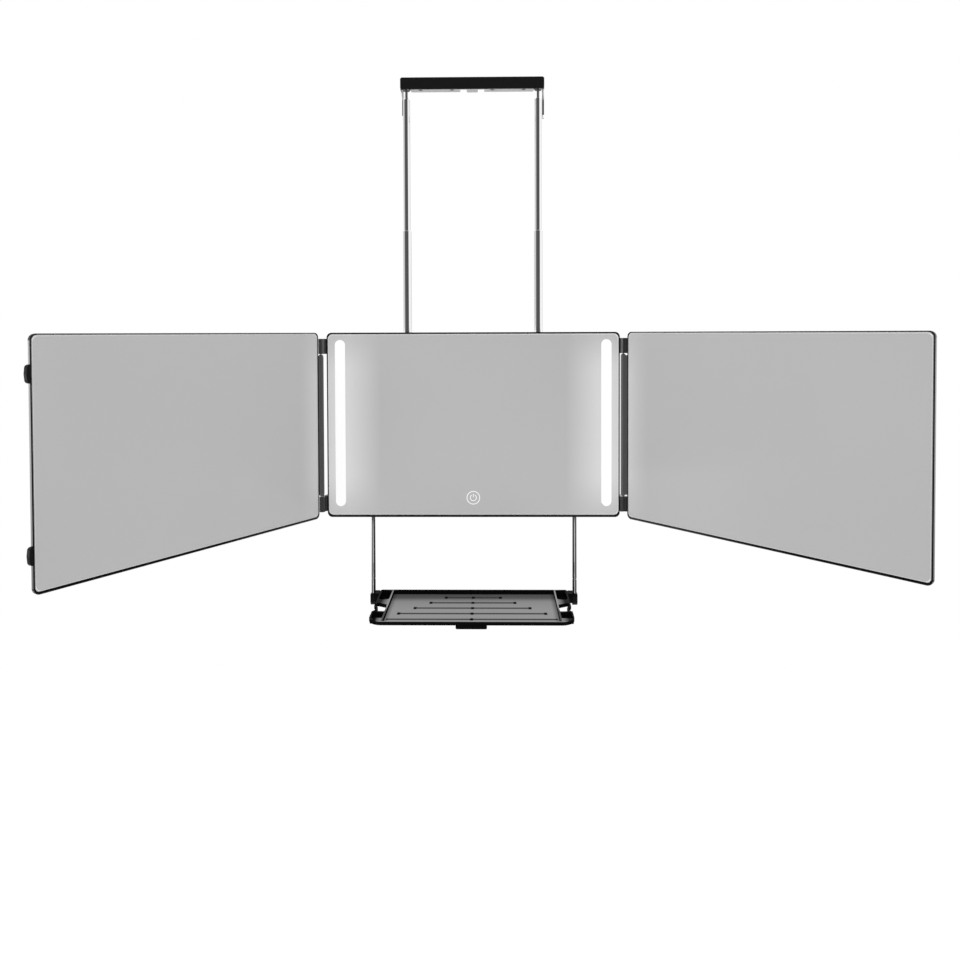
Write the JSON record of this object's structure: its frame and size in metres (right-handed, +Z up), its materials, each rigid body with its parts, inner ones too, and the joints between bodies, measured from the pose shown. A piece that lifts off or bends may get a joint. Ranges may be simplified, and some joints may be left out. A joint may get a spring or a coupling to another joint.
{
  "type": "over-door trifold vanity mirror",
  "caption": "Three-panel vanity mirror that hangs over a door on telescopic rods, with lit strips, folding wings and a sliding, folding tray.",
  "frame": {"origin": "middle of the underside of the hook's rest plate, where it lies on the door's top, in the plane of the rods", "axes": "+X to the mirror's right as seen from the front, +Y to the back (towards the door), +Z up"},
  "size_m": [0.6428, 0.3071, 0.5259],
  "materials": {
    "black_metal": "satin black powder coat",
    "bright_steel": "bright steel",
    "dark_steel": "darkened steel",
    "chrome": "polished",
    "chrome_strip": "polished strip",
    "black_gloss": "gloss black",
    "black_matte": "fine matte black",
    "black_tray": "semi-gloss black",
    "mirror_glass": "silvered glass",
    "frosted_strip": "frosted white, lit",
    "foam_tape": "white foam",
    "circuit_board": "solder mask",
    "led_board": "white solder mask",
    "battery_pouch": "foil pouch",
    "slide_nylon": "natural nylon"
  },
  "bodies": {
    "hook": {"hook_bar": "black_metal", "rest_plate": "bright_steel", "hook_screws": "dark_steel", "hook_arm_left": "chrome_strip", "hook_arm_right": "chrome_strip", "rod_stud_left": "dark_steel", "rod_stud_right": "dark_steel", "upper_rod_left": "chrome", "upper_rod_right": "chrome", "upper_sleeve_left": "slide_nylon", "upper_sleeve_right": "slide_nylon"},
    "mid_left": {"middle_tube_left": "chrome", "middle_sleeve_left": "slide_nylon"},
    "mid_right": {"middle_tube_right": "chrome", "middle_sleeve_right": "slide_nylon"},
    "panel": {"front_frame": "black_gloss", "rear_housing": "black_matte", "housing_screws": "dark_steel", "centre_mirror": "mirror_glass", "centre_tape": "foam_tape", "touch_board": "circuit_board", "control_board": "circuit_board", "usb_socket": "bright_steel", "battery": "battery_pouch", "base_tube_left": "bright_steel", "base_tube_right": "bright_steel", "light_strip_left": "frosted_strip", "light_strip_right": "frosted_strip", "led_board_left": "led_board", "led_board_right": "led_board", "hinge_brackets_left": "black_matte", "hinge_brackets_right": "black_matte", "hinge_pins_left": "bright_steel", "hinge_pins_right": "bright_steel", "tray_guide_left": "slide_nylon", "tray_guide_right": "slide_nylon"},
    "wing_left": {"wing_shell_left": "black_gloss", "wing_mirror_left": "mirror_glass", "wing_tape_left": "foam_tape", "hinge_bar_left": "black_matte", "closing_clips": "black_matte"},
    "wing_right": {"wing_shell_right": "black_gloss", "wing_mirror_right": "mirror_glass", "wing_tape_right": "foam_tape", "hinge_bar_right": "black_matte"},
    "tray_slide": {"tray_rod_left": "chrome", "tray_rod_right": "chrome", "rod_lug_left": "black_matte", "rod_lug_right": "black_matte", "tray_rod_bushes": "slide_nylon", "tray_pivot_pins": "dark_steel"},
    "tray": {"tray": "black_tray"}
  },
  "joints": [
    {"name": "mid_left_slide", "type": "slide", "parent": "hook", "child": "mid_left", "axis": [0, 0, 1], "range_m": [-0.008, 0.128]},
    {"name": "mid_right_slide", "type": "slide", "parent": "hook", "child": "mid_right", "axis": [0, 0, 1], "range_m": [-0.008, 0.128]},
    {"name": "panel_slide", "type": "slide", "parent": "mid_left", "child": "panel", "axis": [0, 0, 1], "range_m": [-0.038, 0.098]},
    {"name": "wing_left_fold", "type": "hinge", "parent": "panel", "child": "wing_left", "pos_m": [-0.15, -0.01193, -0.33205], "axis": [0, 0, 1], "range_deg": [-59, 121]},
    {"name": "wing_right_fold", "type": "hinge", "parent": "panel", "child": "wing_right", "pos_m": [0.1483, -0.00894, -0.33205], "axis": [0, 0, -1], "range_deg": [-50.7, 129.3]},
    {"name": "tray_rods_slide", "type": "slide", "parent": "panel", "child": "tray_slide", "axis": [0, 0, -1], "range_m": [-0.073, 0.03]},
    {"name": "tray_fold", "type": "hinge", "parent": "tray_slide", "child": "tray", "pos_m": [0, 0, -0.5087], "axis": [-1, 0, 0], "range_deg": [0, 75]}
  ],
  "couplings": [
    {"joint": "mid_right_slide", "follows": "mid_left_slide", "ratio": 1}
  ]
}
